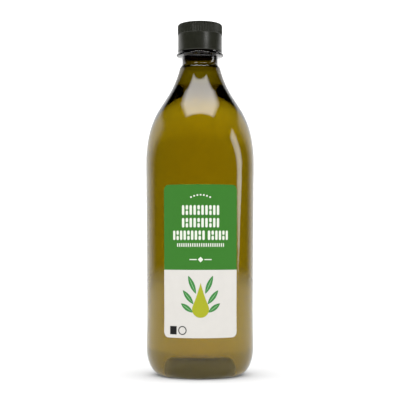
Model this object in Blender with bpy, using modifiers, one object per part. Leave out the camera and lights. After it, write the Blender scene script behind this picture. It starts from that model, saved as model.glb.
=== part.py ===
"""A one-litre round bottle of olive oil, standing on its base: the tinted bottle, the oil in it,
a ribbed screw cap and a wrap-around front label. Metres, +Z up, origin at the centre of the base,
label towards -Y."""

import math

import bpy

MM = 0.001

# Overall heights above the base
CAP_TOP_Z = 266.5 * MM
MOUTH_Z = 263.6 * MM
OIL_LEVEL_Z = 218.2 * MM

# Neck: the finish under the cap, the support ring and the plain neck
FINISH_R = 13.0 * MM
NECK_R = 13.6 * MM
BORE_R = 11.0 * MM
RING_R = 18.0 * MM
RING_ROOT_R = 17.0 * MM
RING_TOP_Z = 244.6 * MM
RING_TIP_TOP_Z = 243.1 * MM
RING_TIP_LOW_Z = 242.3 * MM
RING_UNDER_Z = 241.8 * MM
RING_EDGE = 0.5 * MM
NECK_FOOT_Z = 236.2 * MM

# Shoulder: collar below the neck, concave flare, straight cone, convex shoulder
COLLAR_R = 15.6 * MM
COLLAR_Z = 232.1 * MM
COLLAR_SLOPE = 0.26
COLLAR_PULL = 1.9 * MM
CONE_TOP_R = 24.25 * MM
CONE_TOP_Z = 211.6 * MM
CONE_FOOT_R = 30.9 * MM
CONE_FOOT_Z = 201.2 * MM
FLARE_PULL = 7.0 * MM
SHOULDER_TOP_PULL = 14.0 * MM
SHOULDER_FOOT_PULL = 16.0 * MM

# Body: a bumper above and below a shallow label panel
BUMPER_R = 41.15 * MM
BUMPER_Z = 159.0 * MM
PANEL_TOP_R = 40.7 * MM
PANEL_TOP_Z = 144.0 * MM
PANEL_FOOT_R = 40.1 * MM
PANEL_FOOT_Z = 50.0 * MM
HEEL_R = 40.43 * MM
HEEL_Z = 20.2 * MM
PANEL_EASE = 5.0 * MM

# Base: a round heel, a flat ring to stand on and a steep push-up with a nearly flat crown
HEEL_PULL = 8.5 * MM
STAND_OUTER_R = 28.0 * MM
STAND_INNER_R = 20.0 * MM
DOME_HEIGHT = 15.2 * MM
DOME_POWER = 12

# Wall thickness: (height, thickness), thick below the neck and thin once blown out
NECK_WALL_HEIGHTS = (
    (236.2 * MM, 2.5 * MM),
    (228.0 * MM, 3.6 * MM),
    (219.5 * MM, 2.2 * MM),
    (211.6 * MM, 1.2 * MM),
    (195.0 * MM, 0.6 * MM),
)
HEEL_WALL = 0.8 * MM
DOME_WALL = 0.9 * MM

# Cap: ribbed band over a plain skirt
CAP_SKIRT_R = 16.8 * MM
CAP_FOOT_Z = 244.9 * MM
CAP_LIP_R = 16.95 * MM
CAP_LIP_HEIGHT = 1.2 * MM
CAP_WALL = 1.6 * MM
CAP_CEILING_Z = 264.0 * MM
CAP_CORE_R = 16.7 * MM
CAP_EDGE = 0.9 * MM
RIB_COUNT = 96
RIB_CREST_R = 17.15 * MM
RIB_ROOT_R = 16.8 * MM
RIB_FOOT_Z = 258.4 * MM
RIB_TOP_Z = CAP_TOP_Z - CAP_EDGE

# Label: a wrapped rectangle with round corners
LABEL_FOOT_Z = 30.6 * MM
LABEL_TOP_Z = 141.7 * MM
LABEL_HALF_ANGLE = math.radians(40.8)
LABEL_TURN = math.radians(0.6)
LABEL_CORNER = 4.2 * MM
LABEL_THICKNESS = 0.15 * MM

GAP = 0.3 * MM
MERGE = 0.00005
TURN_STEPS = 40
CURVE_STEPS = 5
DOME_STEPS = 5
CORNER_STEPS = 4

OLIVE_TINT = (0.16, 0.14, 0.02)
OIL_GOLD = (0.30, 0.22, 0.01)
CAP_BLACK = (0.03, 0.032, 0.025)
LABEL_GREEN = (0.06, 0.24, 0.04)


def bezier(start, start_pull, end_pull, end, steps):
    """Points of a cubic curve after its start, as (radius, height)."""
    points = []
    for i in range(1, steps + 1):
        t = i / steps
        weights = ((1 - t) ** 3, 3 * t * (1 - t) ** 2, 3 * t * t * (1 - t), t**3)
        corners = (start, start_pull, end_pull, end)
        points.append(tuple(sum(w * c[k] for w, c in zip(weights, corners)) for k in (0, 1)))
    return points


def pulled(point, slope, pull, down):
    """A curve handle: down or up the wall from point, where the radius grows by slope as it falls."""
    length = pull / math.hypot(slope, 1)
    sign = 1 if down else -1
    return (point[0] + sign * slope * length, point[1] - sign * length)


def shoulder_points():
    """Outer wall from the foot of the neck down to the upper bumper."""
    neck, collar = (NECK_R, NECK_FOOT_Z), (COLLAR_R, COLLAR_Z)
    cone_top, cone_foot = (CONE_TOP_R, CONE_TOP_Z), (CONE_FOOT_R, CONE_FOOT_Z)
    bumper = (BUMPER_R, BUMPER_Z)
    cone_slope = (CONE_FOOT_R - CONE_TOP_R) / (CONE_TOP_Z - CONE_FOOT_Z)
    points = [neck]
    points += bezier(
        neck,
        pulled(neck, 0, COLLAR_PULL, True),
        pulled(collar, COLLAR_SLOPE, COLLAR_PULL, False),
        collar,
        CURVE_STEPS - 1,
    )
    points += bezier(
        collar,
        pulled(collar, COLLAR_SLOPE, FLARE_PULL, True),
        pulled(cone_top, cone_slope, FLARE_PULL, False),
        cone_top,
        CURVE_STEPS,
    )
    points.append(cone_foot)
    points += bezier(
        cone_foot,
        pulled(cone_foot, cone_slope, SHOULDER_TOP_PULL, True),
        pulled(bumper, 0, SHOULDER_FOOT_PULL, False),
        bumper,
        CURVE_STEPS + 2,
    )
    return points


def body_points():
    """Outer wall from below the upper bumper down to the flat ring that the bottle stands on."""
    bumper, panel_top = (BUMPER_R, BUMPER_Z), (PANEL_TOP_R, PANEL_TOP_Z)
    panel_foot, heel = (PANEL_FOOT_R, PANEL_FOOT_Z), (HEEL_R, HEEL_Z)
    points = bezier(
        bumper,
        pulled(bumper, 0, PANEL_EASE, True),
        pulled(panel_top, 0, PANEL_EASE, False),
        panel_top,
        CURVE_STEPS - 2,
    )
    points.append(panel_foot)
    points += bezier(
        panel_foot,
        pulled(panel_foot, 0, 2 * PANEL_EASE, True),
        pulled(heel, 0, 2 * PANEL_EASE, False),
        heel,
        CURVE_STEPS - 1,
    )
    stand, stand_pull = (STAND_OUTER_R, 0), (STAND_OUTER_R + HEEL_PULL, 0)
    points += bezier(heel, pulled(heel, 0, HEEL_PULL, True), stand_pull, stand, CURVE_STEPS + 1)
    return points


def dome_points(rim_r, rim_z, height):
    """A push-up from its rim to its crown on the axis, its points closest on the steep side."""
    points = []
    for i in range(DOME_STEPS + 1):
        share = 1 - (i / DOME_STEPS) ** 1.6
        points.append((rim_r * share, rim_z + height * (1 - share**DOME_POWER)))
    return points


def wall_at(height):
    """Thickness of the wall at this height above the heel."""
    if height >= NECK_WALL_HEIGHTS[0][0]:
        return NECK_WALL_HEIGHTS[0][1]
    for (z_high, t_high), (z_low, t_low) in zip(NECK_WALL_HEIGHTS, NECK_WALL_HEIGHTS[1:]):
        if height >= z_low:
            return t_low + (t_high - t_low) * (height - z_low) / (z_high - z_low)
    if height >= HEEL_Z:
        return NECK_WALL_HEIGHTS[-1][1]
    return HEEL_WALL + (NECK_WALL_HEIGHTS[-1][1] - HEEL_WALL) * height / HEEL_Z


def inset(points, extra):
    """The wall's inner face, or a surface that much further in, from points down the outer face."""
    moved = []
    for i, (radius, height) in enumerate(points):
        before, after = points[max(i - 1, 0)], points[min(i + 1, len(points) - 1)]
        run = (after[0] - before[0], after[1] - before[1])
        length = math.hypot(*run)
        depth = wall_at(height) + extra
        moved.append((radius + run[1] / length * depth, height - run[0] / length * depth))
    return moved


def inner_points(extra):
    """The bottle's inner face from the foot of the neck to the crown of the dome, further in by extra."""
    wall = inset(shoulder_points() + body_points(), extra)
    wall[0] = (BORE_R - extra, NECK_FOOT_Z)
    rim_r = STAND_INNER_R + HEEL_WALL + extra
    dome = dome_points(rim_r, HEEL_WALL + extra, DOME_HEIGHT + DOME_WALL - HEEL_WALL)
    return wall + dome


def bottle_points():
    """The bottle's whole outline: up its inner face, over the mouth and down its outer face."""
    finish = [
        (BORE_R, MOUTH_Z),
        (FINISH_R, MOUTH_Z),
        (FINISH_R, RING_TOP_Z),
        (RING_ROOT_R, RING_TOP_Z),
        (RING_R, RING_TIP_TOP_Z),
        (RING_R, RING_TIP_LOW_Z),
        (RING_R - RING_EDGE, RING_UNDER_Z),
        (NECK_R, RING_UNDER_Z),
    ]
    outer = shoulder_points() + body_points() + dome_points(STAND_INNER_R, 0, DOME_HEIGHT)
    return inner_points(0)[::-1] + finish + outer


def oil_points():
    """The oil's outline: flat top at the fill level, then down just inside the wall."""
    wall = inner_points(GAP)
    below = [point for point in wall if point[1] < OIL_LEVEL_Z]
    last_above = wall[len(wall) - len(below) - 1]
    share = (last_above[1] - OIL_LEVEL_Z) / (last_above[1] - below[0][1])
    edge_r = last_above[0] + share * (below[0][0] - last_above[0])
    return [(0, OIL_LEVEL_Z), (edge_r, OIL_LEVEL_Z)] + below


def cap_points():
    """The cap's outline: top, edge, skirt and lip, then up inside to its ceiling."""
    inner_r = CAP_SKIRT_R - CAP_WALL
    return [
        (0, CAP_TOP_Z),
        (CAP_CORE_R - CAP_EDGE, CAP_TOP_Z),
        (CAP_CORE_R, CAP_TOP_Z - CAP_EDGE),
        (CAP_CORE_R, RIB_FOOT_Z),
        (CAP_SKIRT_R, RIB_FOOT_Z - GAP),
        (CAP_SKIRT_R, CAP_FOOT_Z + CAP_LIP_HEIGHT),
        (CAP_LIP_R, CAP_FOOT_Z + CAP_LIP_HEIGHT / 2),
        (CAP_SKIRT_R, CAP_FOOT_Z),
        (inner_r, CAP_FOOT_Z),
        (inner_r, CAP_CEILING_Z),
        (0, CAP_CEILING_Z),
    ]


def panel_radius(height):
    """Outer radius of the label panel at this height."""
    share = (height - PANEL_FOOT_Z) / (PANEL_TOP_Z - PANEL_FOOT_Z)
    return PANEL_FOOT_R + (PANEL_TOP_R - PANEL_FOOT_R) * max(share, 0)


def sleeve_points():
    """A full sleeve of label thickness just outside the wall, a little taller than the label."""
    wall = [p for p in body_points() if LABEL_FOOT_Z - 4 * MM < p[1] < LABEL_TOP_Z]
    wall = [(panel_radius(PANEL_TOP_Z), PANEL_TOP_Z)] + wall
    low = [(radius + GAP, height) for radius, height in wall]
    return [(radius + LABEL_THICKNESS, height) for radius, height in low] + low[::-1]


def label_outline():
    """The label seen from the front, as (x, z), its round corners drawn in once it's wrapped."""
    radius = panel_radius((LABEL_FOOT_Z + LABEL_TOP_Z) / 2)
    half_width = LABEL_HALF_ANGLE * radius
    corners = (
        (half_width, LABEL_FOOT_Z, -90),
        (half_width, LABEL_TOP_Z, 0),
        (-half_width, LABEL_TOP_Z, 90),
        (-half_width, LABEL_FOOT_Z, 180),
    )
    points = []
    for corner_x, corner_z, start in corners:
        centre_x = corner_x - math.copysign(LABEL_CORNER, corner_x)
        centre_z = corner_z + (LABEL_CORNER if corner_z == LABEL_FOOT_Z else -LABEL_CORNER)
        for i in range(CORNER_STEPS + 1):
            angle = math.radians(start + 90 * i / CORNER_STEPS)
            along = centre_x + LABEL_CORNER * math.cos(angle)
            height = centre_z + LABEL_CORNER * math.sin(angle)
            points.append((radius * math.sin(along / radius), height))
    return points


def material(name, colour, roughness, alpha=1.0, transmission=0.0):
    made = bpy.data.materials.new(name)
    made.use_nodes = True
    shader = made.node_tree.nodes["Principled BSDF"]
    shader.inputs["Base Color"].default_value = (*colour, 1)
    shader.inputs["Roughness"].default_value = roughness
    shader.inputs["Metallic"].default_value = 0
    shader.inputs["Transmission Weight"].default_value = transmission
    shader.inputs["Alpha"].default_value = alpha
    return made


def collection(name):
    made = bpy.data.collections.new(name)
    bpy.context.scene.collection.children.link(made)
    return made


def turned(name, points, look, home, closed=False):
    """A solid of revolution about Z: a profile in the XZ plane with a Screw modifier."""
    mesh = bpy.data.meshes.new(name)
    edges = [(i, i + 1) for i in range(len(points) - 1)]
    if closed:
        edges.append((len(points) - 1, 0))
    mesh.from_pydata([(radius, 0, height) for radius, height in points], edges, [])
    obj = bpy.data.objects.new(name, mesh)
    home.objects.link(obj)
    obj.data.materials.append(look)
    screw = obj.modifiers.new("Screw", "SCREW")
    screw.axis = "Z"
    screw.angle = 2 * math.pi
    screw.steps = TURN_STEPS
    screw.render_steps = TURN_STEPS
    screw.use_merge_vertices = True
    screw.merge_threshold = MERGE
    return obj


def extruded(name, outline, half_depth, home):
    """A prism: a filled flat outline in its own XY plane, extruded both ways along its Z."""
    curve = bpy.data.curves.new(name, "CURVE")
    curve.dimensions = "2D"
    curve.fill_mode = "BOTH"
    curve.extrude = half_depth
    spline = curve.splines.new("POLY")
    spline.points.add(len(outline) - 1)
    for point, (x, y) in zip(spline.points, outline):
        point.co = (x, y, 0, 1)
    spline.use_cyclic_u = True
    obj = bpy.data.objects.new(name, curve)
    home.objects.link(obj)
    return obj


def as_mesh(curve_object):
    """The curve object's shape as a welded mesh object in the same place."""
    bpy.context.view_layer.update()
    graph = bpy.context.evaluated_depsgraph_get()
    mesh = bpy.data.meshes.new_from_object(curve_object.evaluated_get(graph))
    made = bpy.data.objects.new(curve_object.name, mesh)
    made.matrix_world = curve_object.matrix_world
    for home in curve_object.users_collection:
        home.objects.link(made)
    bpy.data.objects.remove(curve_object)
    weld = made.modifiers.new("Weld", "WELD")
    weld.merge_threshold = MERGE
    return made


def boolean(obj, other, operation):
    """A Boolean of obj with a helper object, which isn't rendered."""
    other.hide_render = True
    other.display_type = "WIRE"
    cut = obj.modifiers.new("Boolean", "BOOLEAN")
    cut.operation = operation
    cut.object = other
    cut.solver = "EXACT"


def rib_ring(home):
    """The ribbed band round the top of the cap: a disc whose edge zigzags between crest and root."""
    outline = []
    for i in range(2 * RIB_COUNT):
        angle = math.pi * i / RIB_COUNT
        radius = RIB_CREST_R if i % 2 else RIB_ROOT_R
        outline.append((radius * math.cos(angle), radius * math.sin(angle)))
    ring = extruded("rib_ring", outline, (RIB_TOP_Z - RIB_FOOT_Z) / 2, home)
    ring.location.z = (RIB_TOP_Z + RIB_FOOT_Z) / 2
    return as_mesh(ring)


def make_cap(look, home, helpers):
    cap = turned("cap", cap_points(), look, home)
    crown = rib_ring(helpers)
    inside = turned("cap_inside", inside_points(), look, helpers)
    boolean(crown, inside, "DIFFERENCE")
    boolean(cap, crown, "UNION")
    return cap


def inside_points():
    """What is cut from the ribbed band, so that it only adds to the cap's wall."""
    radius = CAP_CORE_R - CAP_WALL / 2
    high, low = RIB_TOP_Z + GAP, RIB_FOOT_Z - GAP
    return [(0, high), (radius, high), (radius, low), (0, low)]


def make_label(look, home, helpers):
    """The sleeve cut to the label's outline on the front of the bottle."""
    label = turned("label", sleeve_points(), look, home, closed=True)
    depth = BUMPER_R / 2
    outline = extruded("label_outline", label_outline(), depth, helpers)
    outline.rotation_euler = (math.pi / 2, 0, LABEL_TURN)
    outline.location = (depth * math.sin(LABEL_TURN), -depth * math.cos(LABEL_TURN) - 5 * MM, 0)
    boolean(label, as_mesh(outline), "INTERSECT")
    return label


def shade(obj):
    """Smooth shading with the sharp edges kept."""
    obj.data.shade_smooth()
    obj.data.set_sharp_from_angle(angle=math.radians(40))


def main():
    for obj in list(bpy.data.objects):
        bpy.data.objects.remove(obj)
    home = collection("olive_oil_bottle")
    helpers = collection("cutters")
    tinted = material("tinted_plastic", OLIVE_TINT, 0.05, transmission=0.9)
    gold = material("olive_oil", OIL_GOLD, 0.02, transmission=0.9)
    black = material("black_plastic", CAP_BLACK, 0.38)
    paper = material("label_print", LABEL_GREEN, 0.45)
    stand = bpy.data.objects.new("bottle_base_centre", None)
    home.objects.link(stand)
    pieces = [
        turned("bottle", bottle_points(), tinted, home),
        turned("oil", oil_points(), gold, home),
        make_cap(black, home, helpers),
        make_label(paper, home, helpers),
    ]
    for piece in pieces:
        piece.parent = stand
        shade(piece)


main()
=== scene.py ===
"""Looks for the one-litre olive oil bottle: tinted plastic bottle, oil, ribbed cap and printed label,
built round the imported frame. Metres, +Z up, label towards -Y."""

import math

import bmesh
import bpy
from mathutils import Matrix, Vector


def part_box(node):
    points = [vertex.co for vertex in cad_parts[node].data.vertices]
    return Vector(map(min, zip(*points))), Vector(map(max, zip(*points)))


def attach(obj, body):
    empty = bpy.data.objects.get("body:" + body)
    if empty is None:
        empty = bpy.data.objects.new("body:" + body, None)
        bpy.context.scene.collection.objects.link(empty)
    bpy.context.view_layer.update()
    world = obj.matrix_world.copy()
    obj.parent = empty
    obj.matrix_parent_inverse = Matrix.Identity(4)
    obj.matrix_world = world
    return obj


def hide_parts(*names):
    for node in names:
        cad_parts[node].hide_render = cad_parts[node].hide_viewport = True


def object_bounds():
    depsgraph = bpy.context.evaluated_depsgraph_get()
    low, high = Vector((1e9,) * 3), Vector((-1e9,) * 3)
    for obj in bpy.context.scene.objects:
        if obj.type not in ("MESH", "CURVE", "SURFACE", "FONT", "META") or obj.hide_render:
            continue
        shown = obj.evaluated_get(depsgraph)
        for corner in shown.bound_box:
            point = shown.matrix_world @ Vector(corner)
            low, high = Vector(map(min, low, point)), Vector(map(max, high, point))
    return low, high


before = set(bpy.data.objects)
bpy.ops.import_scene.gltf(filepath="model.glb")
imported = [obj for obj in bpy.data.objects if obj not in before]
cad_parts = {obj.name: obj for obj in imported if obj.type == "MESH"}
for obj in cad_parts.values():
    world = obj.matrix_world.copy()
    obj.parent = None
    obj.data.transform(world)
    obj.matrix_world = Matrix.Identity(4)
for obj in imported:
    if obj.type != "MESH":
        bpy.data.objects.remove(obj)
cad_low, cad_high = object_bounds()

MM = 0.001
AROUND = 192

# Heights and radii of the bottle, above the base and from its axis
MOUTH_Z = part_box("bottle")[1].z
OIL_LEVEL_Z = 218.2 * MM
CAP_TOP_Z = cad_high.z
CAP_FOOT_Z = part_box("cap")[0].z

FINISH_R = 13.0 * MM
NECK_R = 13.6 * MM
BORE_R = 11.9 * MM
RING_R = 18.0 * MM
RING_ROOT_R = 17.0 * MM
RING_TOP_Z = CAP_FOOT_Z - 0.03 * MM
RING_TIP_TOP_Z = 243.1 * MM
RING_TIP_LOW_Z = 242.3 * MM
RING_UNDER_Z = 241.8 * MM
NECK_FOOT_Z = 236.2 * MM
COLLAR_R = 15.6 * MM
COLLAR_Z = 232.1 * MM
COLLAR_SLOPE = 0.26
COLLAR_PULL = 1.9 * MM
CONE_TOP_R = 24.25 * MM
CONE_TOP_Z = 211.6 * MM
CONE_FOOT_R = 30.9 * MM
CONE_FOOT_Z = 201.2 * MM
FLARE_PULL = 7.0 * MM
SHOULDER_TOP_PULL = 14.0 * MM
SHOULDER_FOOT_PULL = 16.0 * MM
BUMPER_R = 41.15 * MM
BUMPER_Z = 159.0 * MM
PANEL_TOP_R = 40.95 * MM
PANEL_TOP_Z = 144.0 * MM
PANEL_FOOT_R = 40.1 * MM
PANEL_FOOT_Z = 50.0 * MM
HEEL_R = 40.43 * MM
HEEL_Z = 20.2 * MM
PANEL_EASE = 5.0 * MM
HEEL_PULL = 8.5 * MM
STAND_OUTER_R = 28.0 * MM
STAND_INNER_R = 20.0 * MM
DOME_HEIGHT = 15.2 * MM
DOME_POWER = 12
DOME_HAZE = 1.0

# How much each bends light, and what it absorbs over a millimetre in red, green and blue
PLASTIC_IOR, OIL_IOR = 1.57, 1.47
PLASTIC_ABSORBS = (0.95, 1.08, 3.0)
OIL_ABSORBS = (0.0165, 0.0216, 0.072)

# Wall thickness from the neck down: (height, thickness)
WALL = (
    (236.2 * MM, 1.7 * MM),
    (231.0 * MM, 1.25 * MM),
    (219.5 * MM, 1.3 * MM),
    (211.6 * MM, 1.0 * MM),
    (195.0 * MM, 0.25 * MM),
)
HEEL_WALL = 0.5 * MM
DOME_WALL = 0.5 * MM
OIL_OVERLAP = 0.1 * MM

# Cap. The ribs start after the plain rows of its profile and deepen over the next few
RIBS = 84
RIB_DEPTH = 0.32 * MM
RIB_FOOT_Z = 258.4 * MM
CAP_BAND_R = 17.05 * MM
CAP_SKIRT_R = 16.8 * MM
CAP_EDGE = 1.8 * MM
CAP_WALL = 1.6 * MM
CAP_AROUND = 8 * RIBS
PLAIN_ROWS, RIB_FADE_ROWS = 6, 3

# Label, and the print on it, which is sunk in a little and stands proud a little
LABEL_FOOT_Z, LABEL_TOP_Z = 30.6 * MM, 141.7 * MM
LABEL_SPLIT_Z = 79.7 * MM
LABEL_HALF_ANGLE = math.radians(40.8)
LABEL_TURN = math.radians(0.6)
LABEL_CORNER = 4.2 * MM
LABEL_LIFT = 0.05 * MM
LABEL_THICKNESS = 0.08 * MM
PRINT_SUNK = 0.05 * MM
PRINT_LIFT = 0.06 * MM
VEIN_LIFT = PRINT_LIFT + 0.03 * MM

# The shapes of the print, in millimetres across from the label's middle and above the base.
# A row of bars is (foot, top, half width, bars, how many come before a gap), a leaf is (base, tip),
# and a vein's start and end are shares of its leaf's length
BAR_ROWS = (
    (119.4, 126.6, 13.6, 10, None),
    (110.4, 117.3, 13.6, 10, None),
    (101.3, 108.2, 20.6, 15, 9),
)
BAR_WIDTH, BAR_PARTING, ROW_GAP = 1.75, 0.6, 1.2
SMALL_BARS, SMALL_BAR_REACH, SMALL_BAR_WIDTH = 22, 17, 0.8
SMALL_BAR_FOOT, SMALL_BAR_TOP = 96.3, 99.1
DOTS, DOT_PITCH, DOT_SIZE = 7, 2.3, 1.3
DOTS_FOOT, DOTS_SAG = 133.4, 0.035
DIAMOND_Z, DIAMOND_HALF = 87.2, 2
DASH_START, DASH_END, DASH_THICKNESS = 2.8, 8, 0.7
LEAVES = (((5.6, 49), (14.5, 55.5)), ((5.2, 55), (13, 65)), ((3.4, 62.5), (9, 75.5)))
LEAF_WIDTH, VEIN_WIDTH = 3.6, 0.5
VEIN_START, VEIN_END = 0.1, 0.86
DROP_FOOT, DROP_R, DROP_RISE = 45.2, 6.2, 14
FOOT_MARKS_Z = 36
BLOCK_START, BLOCK_END, BLOCK_HEIGHT = -23.3, -17.9, 6
HOOP_X, HOOP_R, HOOP_THICKNESS = -13.4, 3.2, 0.7
NARROWEST = 0.01

# Camera
CAMERA_DISTANCE = 0.822
CAMERA_HEIGHT = 0.097
CAMERA_AIM_Z = 0.1320
CAMERA_LENS = 97.2
SENSOR = 36.0

# The room and its wall. Each pair in brackets is where a soft step starts and ends, as the cosine of
# the angle from the wall's middle or, for its top and rise, as the height of a direction
SKY = 1.4
WALL_TURN = math.radians(5)
WALL_TOP = (0.41, 0.55)
WALL_EDGE_LOW, WALL_EDGE_HIGH, WALL_EDGE_RISE = 0.60, 0.26, (0.05, 0.42)
WALL_EDGE_SOFT = (-0.24, 0.26)
WALL_MIRRORED = 0.88
WALL_POWER = 6
SIDE_SHOWN, REST_SHOWN = 0.08, 0.60
SIDE_EDGE = (0.45, 0.65)

# Floor. Each pair in brackets is where a soft step starts and ends, in metres from the bottle
FLOOR_R = 12
FLOOR_Z = -0.02 * MM
FLOOR_WHITE = 0.9
FLOOR_MIRRORED = (0.8, 3.0)
FLOOR_DULL = 0.15
FLOOR_GLOW = 0.3
FLOOR_GLOWS = (0.6, 4.0)

# Overhead panel, with the sizes in its stack as shares of its own
OVERHEAD_CENTRE = (0.0, -0.38, 1.2)
OVERHEAD_SIZE = (1.18, 0.7)
OVERHEAD_STRENGTH = 6.6
OVERHEAD_SHARES = (0.86, 0.93, 1.0, 1.07, 1.14)
OVERHEAD_APART = 0.05

# The strips far off, as (foot, top, width) in degrees, with foot and top as (round to the right of
# the camera, up)
STRIPS = (
    ((94.8, 0.25), (75.5, 25.5), 15),
    ((94.8, 0.7), (76.1, 24.3), 12),
    ((94.8, 1.15), (76.7, 23.1), 9),
)
CAP_STRIP = ((34, 0), (34, 28), 13)
STRIP_DISTANCE, STRIP_CENTRE_Z = 5.0, 0.1
STRIP_STRENGTH, CAP_STRIP_STRENGTH = 1.45, 5.5


def bezier(start, start_pull, end_pull, end, steps):
    """Points of a cubic curve after its start, as (radius, height)."""
    points = []
    for i in range(1, steps + 1):
        t = i / steps
        weights = ((1 - t) ** 3, 3 * t * (1 - t) ** 2, 3 * t * t * (1 - t), t**3)
        corners = (start, start_pull, end_pull, end)
        points.append(tuple(sum(w * c[k] for w, c in zip(weights, corners)) for k in (0, 1)))
    return points


def pulled(point, slope, pull, down):
    """The point moved by pull along a slope, which is how much wider it gets as it goes down."""
    length = pull / math.hypot(slope, 1)
    sign = 1 if down else -1
    return (point[0] + sign * slope * length, point[1] - sign * length)


def line(start, end, steps):
    return [
        (start[0] + (end[0] - start[0]) * i / steps, start[1] + (end[1] - start[1]) * i / steps)
        for i in range(1, steps + 1)
    ]


def shoulder_points():
    neck, collar = (NECK_R, NECK_FOOT_Z), (COLLAR_R, COLLAR_Z)
    cone_top, cone_foot = (CONE_TOP_R, CONE_TOP_Z), (CONE_FOOT_R, CONE_FOOT_Z)
    bumper = (BUMPER_R, BUMPER_Z)
    cone_slope = (CONE_FOOT_R - CONE_TOP_R) / (CONE_TOP_Z - CONE_FOOT_Z)
    points = [neck]
    points += bezier(
        neck,
        pulled(neck, 0, COLLAR_PULL, True),
        pulled(collar, COLLAR_SLOPE, COLLAR_PULL, False),
        collar,
        12,
    )
    points += bezier(
        collar,
        pulled(collar, COLLAR_SLOPE, FLARE_PULL, True),
        pulled(cone_top, cone_slope, FLARE_PULL, False),
        cone_top,
        16,
    )
    points += line(cone_top, cone_foot, 6)
    points += bezier(
        cone_foot,
        pulled(cone_foot, cone_slope, SHOULDER_TOP_PULL, True),
        pulled(bumper, 0, SHOULDER_FOOT_PULL, False),
        bumper,
        28,
    )
    return points


def body_points():
    bumper, panel_top = (BUMPER_R, BUMPER_Z), (PANEL_TOP_R, PANEL_TOP_Z)
    panel_foot, heel = (PANEL_FOOT_R, PANEL_FOOT_Z), (HEEL_R, HEEL_Z)
    points = bezier(
        bumper,
        pulled(bumper, 0, PANEL_EASE, True),
        pulled(panel_top, 0, PANEL_EASE, False),
        panel_top,
        8,
    )
    points += line(panel_top, panel_foot, 12)
    points += bezier(
        panel_foot,
        pulled(panel_foot, 0, 2 * PANEL_EASE, True),
        pulled(heel, 0, 2 * PANEL_EASE, False),
        heel,
        10,
    )
    stand = (STAND_OUTER_R, 0)
    stand_pull = (STAND_OUTER_R + HEEL_PULL, 0)
    points += bezier(heel, pulled(heel, 0, HEEL_PULL, True), stand_pull, stand, 28)
    return points


def dome_points(rim_r, rim_z, height):
    """The push-up from its rim to its crown on the axis, with steep sides and a nearly flat crown.
    The points are closest together near the rim, where it climbs."""
    points = []
    steps = 30
    for i in range(steps + 1):
        share = 1 - (i / steps) ** 1.6
        points.append((rim_r * share, rim_z + height * (1 - share**DOME_POWER)))
    points[-1] = (0, rim_z + height)
    return points


def wall_at(height):
    """The wall's thickness there, which goes smoothly from each height in WALL to the next."""
    if height >= WALL[0][0]:
        return WALL[0][1]
    for (z_high, t_high), (z_low, t_low) in zip(WALL, WALL[1:]):
        if height >= z_low:
            share = (height - z_low) / (z_high - z_low)
            share = share * share * (3 - 2 * share)
            return t_low + (t_high - t_low) * share
    if height >= HEEL_Z:
        return WALL[-1][1]
    return HEEL_WALL + (WALL[-1][1] - HEEL_WALL) * height / HEEL_Z


def inset(points, extra):
    """The points moved in by the wall's thickness and extra."""
    moved = []
    for i, (radius, height) in enumerate(points):
        before, after = points[max(i - 1, 0)], points[min(i + 1, len(points) - 1)]
        run = (after[0] - before[0], after[1] - before[1])
        length = math.hypot(*run)
        depth = wall_at(height) + extra
        moved.append((radius + run[1] / length * depth, height - run[0] / length * depth))
    return moved


def inner_points(extra):
    wall = inset(shoulder_points() + body_points(), extra)
    wall[0] = (BORE_R - extra, NECK_FOOT_Z)
    rim_r = STAND_INNER_R + HEEL_WALL + extra
    dome = dome_points(rim_r, HEEL_WALL + extra, DOME_HEIGHT + DOME_WALL - HEEL_WALL)
    return wall + dome


def bottle_points():
    finish = [
        (BORE_R, MOUTH_Z),
        (FINISH_R, MOUTH_Z),
        (FINISH_R, RING_TOP_Z),
        (RING_ROOT_R - 0.1 * MM, RING_TOP_Z),
        (RING_ROOT_R - 0.1 * MM, RING_TIP_TOP_Z + 0.35 * MM),
        (RING_ROOT_R, RING_TIP_TOP_Z + 0.2 * MM),
        (RING_R - 0.3 * MM, RING_TIP_TOP_Z + 0.1 * MM),
        (RING_R, RING_TIP_TOP_Z - 0.15 * MM),
        (RING_R, RING_TIP_LOW_Z),
        (RING_R - 0.2 * MM, RING_UNDER_Z + 0.15 * MM),
        (RING_R - 0.5 * MM, RING_UNDER_Z),
        (NECK_R + 0.5 * MM, RING_UNDER_Z),
        (NECK_R + 0.15 * MM, RING_UNDER_Z - 0.15 * MM),
        (NECK_R, RING_UNDER_Z - 0.5 * MM),
    ]
    outer = shoulder_points() + body_points() + dome_points(STAND_INNER_R, 0, DOME_HEIGHT)
    return inner_points(0)[::-1] + finish + outer


def oil_points():
    wall = inner_points(-OIL_OVERLAP)
    below = [point for point in wall if point[1] < OIL_LEVEL_Z]
    last_above = wall[len(wall) - len(below) - 1]
    share = (last_above[1] - OIL_LEVEL_Z) / (last_above[1] - below[0][1])
    edge_r = last_above[0] + share * (below[0][0] - last_above[0])
    return [(0, OIL_LEVEL_Z), (edge_r, OIL_LEVEL_Z)] + below


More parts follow.
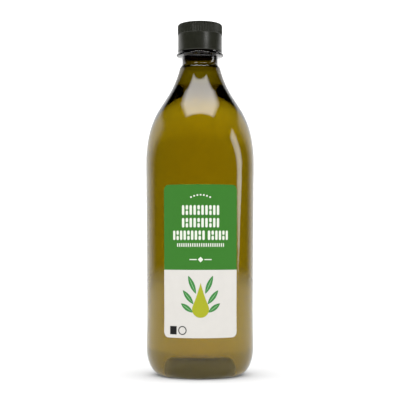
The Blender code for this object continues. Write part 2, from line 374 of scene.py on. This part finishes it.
def revolved(name, points, around, radius_at=None):
    """A turned mesh from (radius, height) points in order. Points at radius 0 are poles."""
    verts, rings = [], []
    for k, (radius, height) in enumerate(points):
        if radius == 0:
            rings.append([len(verts)])
            verts.append((0, 0, height))
            continue
        ring = []
        for i in range(around):
            angle = 2 * math.pi * i / around
            r = radius_at(k, angle, radius) if radius_at else radius
            ring.append(len(verts))
            verts.append((r * math.cos(angle), r * math.sin(angle), height))
        rings.append(ring)
    faces = []
    for a, b in zip(rings, rings[1:]):
        if len(a) == 1 and len(b) == 1:
            continue
        for i in range(around):
            j = (i + 1) % around
            if len(a) == 1:
                faces.append((a[0], b[i], b[j]))
            elif len(b) == 1:
                faces.append((a[i], b[0], a[j]))
            else:
                faces.append((a[i], b[i], b[j], a[j]))
    mesh = bpy.data.meshes.new(name)
    mesh.from_pydata(verts, [], faces)
    work = bmesh.new()
    work.from_mesh(mesh)
    bmesh.ops.recalc_face_normals(work, faces=work.faces)
    work.to_mesh(mesh)
    work.free()
    obj = bpy.data.objects.new(name, mesh)
    bpy.context.scene.collection.objects.link(obj)
    return obj


def smooth(obj, angle=35):
    obj.data.shade_smooth()
    obj.data.set_sharp_from_angle(angle=math.radians(angle))


def piece(obj, slot, *nodes):
    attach(obj, "root")
    if nodes:
        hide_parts(*nodes)


def new_material(name):
    made = bpy.data.materials.new(name)
    made.use_nodes = True
    return made, made.node_tree, made.node_tree.nodes["Principled BSDF"]


def wired(tree, kind, *sources, **settings):
    """A node with these settings, its first inputs fed by sockets or set to numbers."""
    node = tree.nodes.new(kind)
    for name, value in settings.items():
        setattr(node, name, value)
    for socket, source in zip(node.inputs, sources):
        if isinstance(source, bpy.types.NodeSocket):
            tree.links.new(source, socket)
        else:
            socket.default_value = source
    return node


def sums(tree, operation, *sources):
    return wired(tree, "ShaderNodeMath", *sources, operation=operation).outputs["Value"]


def ramp(tree, value, start, end, low=0.0, high=1.0):
    """A soft step from low to high as the value goes from start to end."""
    kind = "ShaderNodeMapRange"
    node = wired(tree, kind, value, start, end, low, high, interpolation_type="SMOOTHSTEP")
    return node.outputs["Result"]


def hypotenuse(tree, *parts):
    squares = [sums(tree, "MULTIPLY", part, part) for part in parts]
    return sums(tree, "SQRT", sums(tree, "ADD", *squares))


def noise(tree, scale, detail=2.0):
    """A noise over the object, with features about 1 / scale metres across."""
    node = tree.nodes.new("ShaderNodeTexNoise")
    node.inputs["Scale"].default_value = scale
    node.inputs["Detail"].default_value = detail
    tree.links.new(tree.nodes.new("ShaderNodeTexCoord").outputs["Object"], node.inputs["Vector"])
    return node.outputs["Fac"]


def noise_bump(tree, shader, scale, strength, distance):
    bump = tree.nodes.new("ShaderNodeBump")
    bump.inputs["Strength"].default_value = strength
    bump.inputs["Distance"].default_value = distance
    tree.links.new(noise(tree, scale), bump.inputs["Height"])
    tree.links.new(bump.outputs["Normal"], shader.inputs["Normal"])


def mottle(tree, shader, colour, spread, scale, roughness):
    """Soft patches, a little darker and smoother and a little lighter and rougher than the rest."""
    patches = noise(tree, scale, detail=3.0)
    dark_to_light = (0.3, 0.7)
    mix = wired(tree, "ShaderNodeMix", ramp(tree, patches, *dark_to_light), data_type="RGBA")
    mix.inputs["A"].default_value = (*(c * (1 - spread) for c in colour), 1)
    mix.inputs["B"].default_value = (*(c * (1 + spread) for c in colour), 1)
    tree.links.new(mix.outputs["Result"], shader.inputs["Base Color"])
    rough = ramp(tree, patches, *dark_to_light, *roughness)
    tree.links.new(rough, shader.inputs["Roughness"])


def absorbing(name, ior, colour, density):
    """A clear material whose tint is in its volume."""
    made, tree, shader = new_material(name)
    shader.inputs["Base Color"].default_value = (1, 1, 1, 1)
    shader.inputs["Roughness"].default_value = 0
    shader.inputs["Transmission Weight"].default_value = 1
    shader.inputs["IOR"].default_value = ior
    volume = tree.nodes.new("ShaderNodeVolumeAbsorption")
    volume.inputs["Color"].default_value = (*colour, 1)
    volume.inputs["Density"].default_value = density
    tree.links.new(volume.outputs["Volume"], tree.nodes["Material Output"].inputs["Volume"])
    return made, tree, shader


def absorption(per_mm):
    """Volume Absorption's colour and density for the given absorption per millimetre. The density is
    a little over the strongest, so that no part of the colour is quite 0."""
    spare = 1.02
    density = max(per_mm) / MM * spare
    return tuple(1 - a / MM / density for a in per_mm), density


plastic_tint = absorption(PLASTIC_ABSORBS)
plastic, plastic_tree, plastic_shader = absorbing("tinted_plastic", PLASTIC_IOR, *plastic_tint)
for attribute, socket in (("dry", "Specular Tint"), ("clear", "Transmission Weight")):
    values = wired(plastic_tree, "ShaderNodeAttribute", attribute_name=attribute)
    plastic_tree.links.new(values.outputs["Fac"], plastic_shader.inputs[socket])
noise_bump(plastic_tree, plastic_shader, scale=45, strength=0.04, distance=0.5 * MM)
oil_look, _, oil_shader = absorbing("olive_oil", OIL_IOR, *absorption(OIL_ABSORBS))
oil_shader.inputs["Specular Tint"].default_value = (0, 0, 0, 1)

# The wall mirrors only where it is dry, and the push-up is frosted
bottle = revolved("bottle_shell", bottle_points(), AROUND)
smooth(bottle)
bottle.data.materials.append(plastic)
dry = bottle.data.attributes.new("dry", "FLOAT", "POINT")
clear = bottle.data.attributes.new("clear", "FLOAT", "POINT")
first_dry = len([p for p in inner_points(0) if p[1] < OIL_LEVEL_Z])
for i, vert in enumerate(bottle.data.vertices):
    ring = 0 if i == 0 else 1 + (i - 1) // AROUND
    dry.data[i].value = 0.0 if ring < first_dry else 1.0
    radius = math.hypot(vert.co.x, vert.co.y)
    on_dome = radius < STAND_INNER_R and vert.co.z < DOME_HEIGHT + DOME_WALL + 1 * MM
    clear.data[i].value = 1 - DOME_HAZE if on_dome else 1.0
piece(bottle, "tinted_plastic", "bottle")

oil = revolved("oil_fill", oil_points(), AROUND)
smooth(oil)
oil.data.materials.append(oil_look)
piece(oil, "olive_oil", "oil")


def cap_points():
    """The cap's profile from the middle of its top, down the outside and back up its inside."""
    centre_r, centre_z = CAP_BAND_R - CAP_EDGE, CAP_TOP_Z - CAP_EDGE
    dish_z = CAP_TOP_Z - 0.1 * MM
    lip_r = CAP_SKIRT_R + 0.12 * MM
    bore_r = CAP_SKIRT_R - CAP_WALL
    ceiling_z = CAP_TOP_Z - 2.4 * MM
    points = [(0, dish_z), (CAP_BAND_R - 3.4 * MM, dish_z), (CAP_BAND_R - 2.6 * MM, CAP_TOP_Z)]
    for i in range(7):
        angle = math.pi / 2 * i / 6
        points.append((centre_r + CAP_EDGE * math.sin(angle), centre_z + CAP_EDGE * math.cos(angle)))
    points += [
        (CAP_BAND_R, CAP_TOP_Z - 2.6 * MM),
        (CAP_BAND_R, RIB_FOOT_Z + 0.5 * MM),
        (CAP_BAND_R, RIB_FOOT_Z + 0.1 * MM),
        (CAP_BAND_R - 0.1 * MM, RIB_FOOT_Z),
        (CAP_SKIRT_R, RIB_FOOT_Z - 0.1 * MM),
        (CAP_SKIRT_R, RIB_FOOT_Z - 0.5 * MM),
        (CAP_SKIRT_R, CAP_FOOT_Z + 1.6 * MM),
        (lip_r, CAP_FOOT_Z + 1.2 * MM),
        (lip_r, CAP_FOOT_Z + 0.4 * MM),
        (CAP_SKIRT_R - 0.1 * MM, CAP_FOOT_Z),
        (bore_r, CAP_FOOT_Z),
        (bore_r, ceiling_z),
        (0, ceiling_z),
    ]
    return points


CAP_PROFILE = cap_points()


def ribbed(k, angle, radius):
    """Ribs on the rows of the band, fading out over the round top edge."""
    height = CAP_PROFILE[k][1]
    if k < PLAIN_ROWS or height < RIB_FOOT_Z - 0.01 * MM or radius < CAP_SKIRT_R - 1 * MM:
        return radius
    share = min(1, (k - PLAIN_ROWS + 1) / RIB_FADE_ROWS)
    wave = 0.5 + 0.5 * math.cos(RIBS * angle)
    return radius - RIB_DEPTH * share * (1 - wave) ** 1.5


black, black_tree, black_shader = new_material("black_plastic")
near_black = (0.0145, 0.0155, 0.0085)
mottle(black_tree, black_shader, near_black, spread=0.08, scale=250, roughness=(0.29, 0.35))
noise_bump(black_tree, black_shader, scale=2500, strength=0.1, distance=0.1 * MM)
cap = revolved("screw_cap", CAP_PROFILE, CAP_AROUND, ribbed)
smooth(cap, 50)
cap.data.materials.append(black)
piece(cap, "black_plastic", "cap")


def panel_radius(height):
    share = (height - PANEL_FOOT_Z) / (PANEL_TOP_Z - PANEL_FOOT_Z)
    if share >= 0:
        return PANEL_FOOT_R + (PANEL_TOP_R - PANEL_FOOT_R) * share
    t = (PANEL_FOOT_Z - height) / (PANEL_FOOT_Z - HEEL_Z)
    return PANEL_FOOT_R + (HEEL_R - PANEL_FOOT_R) * t * t * (3 - 2 * t)


MID_R = panel_radius((LABEL_FOOT_Z + LABEL_TOP_Z) / 2)


def on_label(across, height, lift):
    """The point over the wall that far across the label from its middle."""
    angle = across / MID_R + LABEL_TURN - math.pi / 2
    radius = panel_radius(height) + lift
    return (radius * math.cos(angle), radius * math.sin(angle), height)


def label_rows():
    """(height, half width) rows from foot to top, with the round corners drawn in."""
    half = LABEL_HALF_ANGLE * MID_R
    corner_steps = 8
    rows = []
    for i in range(corner_steps + 1):
        angle = math.pi / 2 * i / corner_steps
        inwards = LABEL_CORNER * (1 - math.sin(angle))
        rows.append((LABEL_FOOT_Z + LABEL_CORNER * (1 - math.cos(angle)), half - inwards))
    low, high = LABEL_FOOT_Z + LABEL_CORNER, LABEL_TOP_Z - LABEL_CORNER
    for start, end, steps in ((low, LABEL_SPLIT_Z, 12), (LABEL_SPLIT_Z, high, 16)):
        rows += [(start + (end - start) * i / steps, half) for i in range(1, steps + 1)]
    for i in range(1, corner_steps + 1):
        angle = math.pi / 2 * i / corner_steps
        inwards = LABEL_CORNER * (1 - math.cos(angle))
        rows.append((high + LABEL_CORNER * math.sin(angle), half - inwards))
    return rows


def label_mesh():
    columns = 56
    rows = label_rows()
    work = bmesh.new()
    layers = []
    for lift in (LABEL_LIFT, LABEL_LIFT + LABEL_THICKNESS):
        grid = []
        for height, half in rows:
            places = [half * (2 * i / columns - 1) for i in range(columns + 1)]
            grid.append([work.verts.new(on_label(across, height, lift)) for across in places])
        layers.append(grid)
    inner, outer = layers
    for k in range(len(rows) - 1):
        above = (rows[k][0] + rows[k + 1][0]) / 2 > LABEL_SPLIT_Z
        for i in range(columns):
            for grid in (inner, outer):
                corners = (grid[k][i], grid[k][i + 1], grid[k + 1][i + 1], grid[k + 1][i])
                face = work.faces.new(corners)
                face.material_index = 0 if above else 1
        for i in (0, columns):
            face = work.faces.new((inner[k][i], outer[k][i], outer[k + 1][i], inner[k + 1][i]))
            face.material_index = 0 if above else 1
    for k in (0, len(rows) - 1):
        for i in range(columns):
            face = work.faces.new((inner[k][i], outer[k][i], outer[k][i + 1], inner[k][i + 1]))
            face.material_index = 0 if k else 1
    bmesh.ops.recalc_face_normals(work, faces=work.faces)
    mesh = bpy.data.meshes.new("front_label")
    work.to_mesh(mesh)
    work.free()
    obj = bpy.data.objects.new("front_label", mesh)
    bpy.context.scene.collection.objects.link(obj)
    return obj


def print_material(name, colour):
    made, tree, shader = new_material(name)
    mottle(tree, shader, colour, spread=0.01, scale=160, roughness=(0.46, 0.54))
    shader.inputs["Specular IOR Level"].default_value = 0.2
    noise_bump(tree, shader, scale=900, strength=0.06, distance=0.2 * MM)
    return made


green = print_material("label_green", (0.0355, 0.182, 0.0175))
pale = print_material("label_pale", (0.632, 0.612, 0.576))
label = label_mesh()
smooth(label, 40)
label.data.materials.append(green)
label.data.materials.append(pale)
piece(label, "label_print", "label")


class Print:
    """Thin shapes of one colour on the label, in millimetres as (across from its middle, height)."""

    def __init__(self, name, colour, lift=PRINT_LIFT):
        self.name = name
        self.lift = lift
        self.material = print_material(name, colour)
        self.work = bmesh.new()

    def stamp(self, ribs, closed=False):
        """A flat closed shape from pairs of opposite edge points, in order along it."""
        rings = []
        for pair in ribs:
            low, high = ((across * MM, height * MM) for across, height in pair)
            top = LABEL_LIFT + LABEL_THICKNESS
            foot, face = -PRINT_SUNK, self.lift
            corners = ((low, foot), (high, foot), (high, face), (low, face))
            places = [on_label(*place, top + lift) for place, lift in corners]
            rings.append([self.work.verts.new(place) for place in places])
        for a, b in zip(rings, rings[1:] + (rings[:1] if closed else [])):
            for k in range(4):
                self.work.faces.new((a[k], a[(k + 1) % 4], b[(k + 1) % 4], b[k]))
        if not closed:
            self.work.faces.new(rings[0])
            self.work.faces.new(rings[-1])

    def pill(self, across, low, high, width):
        """An upright bar with round ends, or a dot when it is as high as wide."""
        ribs = []
        for i in range(9):
            angle = math.pi * i / 8
            rise = max(width / 2 * math.sin(angle), NARROWEST)
            x = across - width / 2 * math.cos(angle)
            ribs.append(((x, low + width / 2 - rise), (x, high - width / 2 + rise)))
        self.stamp(ribs)

    def dash(self, start, end, height, thickness):
        steps = max(1, round(end - start))
        ribs = [(start + (end - start) * i / steps) for i in range(steps + 1)]
        self.stamp([((x, height - thickness / 2), (x, height + thickness / 2)) for x in ribs])

    def blade(self, base, tip, width):
        """A leaf shape from its base to its tip."""
        run = (tip[0] - base[0], tip[1] - base[1])
        length = math.hypot(*run)
        side = (-run[1] / length, run[0] / length)
        ribs = []
        for i in range(17):
            t = i / 16
            half = max(width / 2 * math.sin(math.pi * t) ** 0.8, NARROWEST)
            centre = (base[0] + run[0] * t, base[1] + run[1] * t)
            ribs.append(
                tuple((centre[0] + side[0] * h, centre[1] + side[1] * h) for h in (-half, half))
            )
        self.stamp(ribs)

    def drop(self, across, low, radius, rise):
        """A drop, round below and pointed above."""
        ribs = []
        for i in range(25):
            share = -math.cos(math.pi * i / 24)
            sag = radius * math.sqrt(max(1 - share * share, 0.0001))
            peak = rise * (1 - abs(share)) ** 1.6
            x = across + radius * share
            ribs.append(((x, low + radius - sag), (x, low + radius + 0.8 * sag + peak)))
        self.stamp(ribs)

    def ring(self, across, height, radius, thickness):
        ribs = []
        for i in range(40):
            angle = 2 * math.pi * i / 40
            x, z = math.cos(angle), math.sin(angle)
            radii = (radius - thickness, radius)
            ribs.append(tuple((across + r * x, height + r * z) for r in radii))
        self.stamp(ribs, closed=True)

    def diamond(self, height, half):
        ribs = []
        for x, rise in ((-half, NARROWEST), (0, half), (half, NARROWEST)):
            ribs.append(((x, height - rise), (x, height + rise)))
        self.stamp(ribs)

    def bar_row(self, low, high, half, count, width, gap_after=None):
        """Bars across the label, every third one parted in two."""
        gap = ROW_GAP if gap_after else 0.0
        pitch = (2 * half - width - gap) / (count - 1)
        for i in range(count):
            x = -half + width / 2 + pitch * i
            if gap_after and i >= gap_after:
                x += gap
            middle = (low + high) / 2
            if i % 3 == 1:
                self.pill(x, low, middle - BAR_PARTING / 2, width)
                self.pill(x, middle + BAR_PARTING / 2, high, width)
            else:
                self.pill(x, low, high, width)

    def finish(self):
        bmesh.ops.recalc_face_normals(self.work, faces=self.work.faces)
        mesh = bpy.data.meshes.new(self.name)
        self.work.to_mesh(mesh)
        self.work.free()
        obj = bpy.data.objects.new(self.name, mesh)
        bpy.context.scene.collection.objects.link(obj)
        mesh.materials.append(self.material)
        piece(obj, "label_print")


def print_white():
    """Rows of bars and dots on the green, and a dash, diamond and dash under them."""
    white = Print("print_white", (0.72, 0.75, 0.66))
    for low, high, half, count, gap_after in BAR_ROWS:
        white.bar_row(low, high, half, count, BAR_WIDTH, gap_after)
    for i in range(SMALL_BARS):
        x = -SMALL_BAR_REACH + 2 * SMALL_BAR_REACH * i / (SMALL_BARS - 1)
        white.pill(x, SMALL_BAR_FOOT, SMALL_BAR_TOP, SMALL_BAR_WIDTH)
    for i in range(DOTS):
        x = DOT_PITCH * (i - (DOTS - 1) / 2)
        low = DOTS_FOOT - DOTS_SAG * x * x
        white.pill(x, low, low + DOT_SIZE, DOT_SIZE)
    white.dash(-DASH_END, -DASH_START, DIAMOND_Z, DASH_THICKNESS)
    white.dash(DASH_START, DASH_END, DIAMOND_Z, DASH_THICKNESS)
    white.diamond(DIAMOND_Z, DIAMOND_HALF)
    white.finish()


def print_leaves():
    """Leaves in pairs on the pale field, each with a lighter vein."""
    leaf = Print("print_leaf", (0.045, 0.22, 0.05))
    vein = Print("print_vein", (0.24, 0.47, 0.22), VEIN_LIFT)
    for side in (-1, 1):
        for base, tip in LEAVES:
            base, tip = (side * base[0], base[1]), (side * tip[0], tip[1])
            start, end = (
                tuple(b + (t - b) * share for b, t in zip(base, tip))
                for share in (VEIN_START, VEIN_END)
            )
            leaf.blade(base, tip, LEAF_WIDTH)
            vein.blade(start, end, VEIN_WIDTH)
    leaf.finish()
    vein.finish()


def print_drop():
    """A drop of oil between the leaves."""
    oil_drop = Print("print_drop", (0.36, 0.38, 0.015))
    oil_drop.drop(0, DROP_FOOT, DROP_R, DROP_RISE)
    oil_drop.finish()


def print_foot_marks():
    """A dark block and ring at the foot of the pale field."""
    ink = Print("print_ink", (0.012, 0.012, 0.012))
    ink.dash(BLOCK_START, BLOCK_END, FOOT_MARKS_Z, BLOCK_HEIGHT)
    ink.ring(HOOP_X, FOOT_MARKS_Z, HOOP_R, HOOP_THICKNESS)
    ink.finish()


print_white()
print_leaves()
print_drop()
print_foot_marks()


def look_at(obj, target):
    obj.rotation_euler = (Vector(target) - obj.location).to_track_quat("-Z", "Y").to_euler()


def add_camera():
    data = bpy.data.cameras.new("camera")
    data.lens = CAMERA_LENS
    data.sensor_width = SENSOR
    camera = bpy.data.objects.new("camera", data)
    bpy.context.scene.collection.objects.link(camera)
    camera.location = (0, -CAMERA_DISTANCE, CAMERA_HEIGHT)
    look_at(camera, (0, 0, CAMERA_AIM_Z))
    bpy.context.scene.camera = camera


def panel(name, centre, target, up, width, height, strength, seen_by):
    """A soft panel light that shows only in reflections, with its height along up."""
    data = bpy.data.lights.new(name, "AREA")
    data.shape = "RECTANGLE"
    data.size, data.size_y = width, height
    data.energy = strength * width * height * math.pi
    light = bpy.data.objects.new(name, data)
    bpy.context.scene.collection.objects.link(light)
    back = (Vector(centre) - Vector(target)).normalized()
    side = Vector(up).cross(back).normalized()
    turn = Matrix((side, back.cross(side), back)).transposed()
    light.matrix_world = Matrix.Translation(centre) @ turn.to_4x4()
    light.visible_camera = False
    light.visible_diffuse = False
    light.visible_transmission = False
    group = bpy.data.collections.new(name + "_receivers")
    group.objects.link(seen_by)
    light.light_linking.receiver_collection = group


def heading(azimuth, elevation):
    """The direction that many degrees round from the camera to the right, and above the horizon."""
    a, e = math.radians(azimuth), math.radians(elevation)
    return Vector((math.sin(a) * math.cos(e), -math.cos(a) * math.cos(e), math.sin(e)))


def far_strip(name, low, high, width, strength, seen_by):
    """A straight strip light far off between two directions, as wide as that many degrees."""
    start, end = heading(*low) * STRIP_DISTANCE, heading(*high) * STRIP_DISTANCE
    middle = Vector((0, 0, STRIP_CENTRE_Z))
    size = 2 * STRIP_DISTANCE * math.tan(math.radians(width / 2))
    along = end - start
    panel(name, (start + end) / 2 + middle, middle, along, size, along.length, strength, seen_by)


def add_world():
    """A white room for the eye and for plain light. What the bottle mirrors and what shows through it
    is a bright wall behind, which fades to the sides and upwards into the dark."""
    world = bpy.data.worlds.new("studio")
    bpy.context.scene.world = world
    world.use_nodes = True
    tree = world.node_tree
    background = tree.nodes["Background"]
    background.inputs["Color"].default_value = (1, 1, 1, 1)
    direction = tree.nodes.new("ShaderNodeTexCoord").outputs["Generated"]
    split = wired(tree, "ShaderNodeSeparateXYZ", direction)
    x, y, z = split.outputs
    aside = sums(tree, "MULTIPLY", x, -math.sin(WALL_TURN))
    ahead = sums(tree, "MULTIPLY", y, math.cos(WALL_TURN))
    towards = sums(tree, "ADD", aside, ahead)
    facing = sums(tree, "DIVIDE", towards, sums(tree, "MAXIMUM", hypotenuse(tree, x, y), 0.001))
    edge = ramp(tree, z, *WALL_EDGE_RISE, WALL_EDGE_LOW, WALL_EDGE_HIGH)
    inside = ramp(tree, sums(tree, "SUBTRACT", facing, edge), *WALL_EDGE_SOFT)
    mirrored = sums(tree, "MULTIPLY", inside, ramp(tree, z, *WALL_TOP, WALL_MIRRORED, 0.0))
    centre = sums(tree, "POWER", sums(tree, "MAXIMUM", facing, 0.0), WALL_POWER)
    side = ramp(tree, facing, *SIDE_EDGE, REST_SHOWN, REST_SHOWN + SIDE_SHOWN)
    through = sums(tree, "ADD", side, sums(tree, "MULTIPLY", centre, 1 - REST_SHOWN - SIDE_SHOWN))
    path = tree.nodes.new("ShaderNodeLightPath").outputs
    is_mirrored = sums(tree, "MULTIPLY", path["Is Glossy Ray"], path["Is Reflection Ray"])
    plain = wired(tree, "ShaderNodeMix", is_mirrored, data_type="FLOAT")
    plain.inputs["A"].default_value = 1.0
    tree.links.new(mirrored, plain.inputs["B"])
    chosen = wired(tree, "ShaderNodeMix", path["Is Transmission Ray"], data_type="FLOAT")
    tree.links.new(plain.outputs["Result"], chosen.inputs["A"])
    tree.links.new(through, chosen.inputs["B"])
    strength = sums(tree, "MULTIPLY", chosen.outputs["Result"], SKY)
    tree.links.new(strength, background.inputs["Strength"])


def add_floor():
    """A white floor. What the bottle mirrors runs on into the wall far off. Where it shows through
    the bottle it is clear, with a glow near the bottle, so that no edge crosses what is seen there."""
    bpy.ops.mesh.primitive_circle_add(
        vertices=96, radius=FLOOR_R, fill_type="NGON", location=(0, 0, FLOOR_Z)
    )
    floor = bpy.context.object
    floor.name = "floor"
    made, tree, shader = new_material("floor_white")
    tree.nodes.remove(shader)
    white = tree.nodes.new("ShaderNodeBsdfDiffuse")
    white.inputs["Color"].default_value = (FLOOR_WHITE, FLOOR_WHITE, FLOOR_WHITE, 1)
    place = tree.nodes.new("ShaderNodeTexCoord").outputs["Object"]
    away = wired(tree, "ShaderNodeVectorMath", place, operation="LENGTH").outputs["Value"]
    near = ramp(tree, away, *FLOOR_GLOWS, FLOOR_GLOW, 0.0)
    path = tree.nodes.new("ShaderNodeLightPath").outputs
    is_mirrored = sums(tree, "MULTIPLY", path["Is Glossy Ray"], path["Is Reflection Ray"])
    far = ramp(tree, away, *FLOOR_MIRRORED, FLOOR_DULL, 1.0)
    mirrored = sums(tree, "MULTIPLY", far, is_mirrored)
    glowing = sums(tree, "MULTIPLY", near, path["Is Transmission Ray"])
    glow = wired(tree, "ShaderNodeEmission", (1, 1, 1, 1), glowing)
    clear = tree.nodes.new("ShaderNodeBsdfTransparent")
    lit = wired(tree, "ShaderNodeAddShader", clear.outputs["BSDF"], glow.outputs["Emission"])
    gone = sums(tree, "MAXIMUM", mirrored, path["Is Transmission Ray"])
    mix = wired(tree, "ShaderNodeMixShader", gone)
    tree.links.new(white.outputs["BSDF"], mix.inputs[1])
    tree.links.new(lit.outputs["Shader"], mix.inputs[2])
    tree.links.new(mix.outputs["Shader"], tree.nodes["Material Output"].inputs["Surface"])
    floor.data.materials.append(made)


def add_overhead():
    """A panel over the bottle, as a stack of sizes whose reflections add up to one with a soft edge."""
    x, y, z = OVERHEAD_CENTRE
    width, depth = OVERHEAD_SIZE
    strength = OVERHEAD_STRENGTH / len(OVERHEAD_SHARES)
    for share in OVERHEAD_SHARES:
        centre = Vector((x, y, z + OVERHEAD_APART * (share - 1)))
        below = centre - Vector((0, 0, 1))
        panel("overhead", centre, below, (0, 1, 0), width * share, depth * share, strength, bottle)


def add_strips():
    """The leaning strip that the bottle's right side mirrors, and the upright one in the cap."""
    for strip in STRIPS:
        far_strip("strip", *strip, STRIP_STRENGTH, bottle)
    far_strip("cap_strip", *CAP_STRIP, CAP_STRIP_STRENGTH, cap)


add_camera()
add_world()
add_floor()
add_overhead()
add_strips()

scene = bpy.context.scene
scene.view_settings.view_transform = "Standard"
scene.cycles.max_bounces = 24
scene.cycles.transmission_bounces = 24
scene.cycles.glossy_bounces = 12
scene.cycles.use_denoising = True
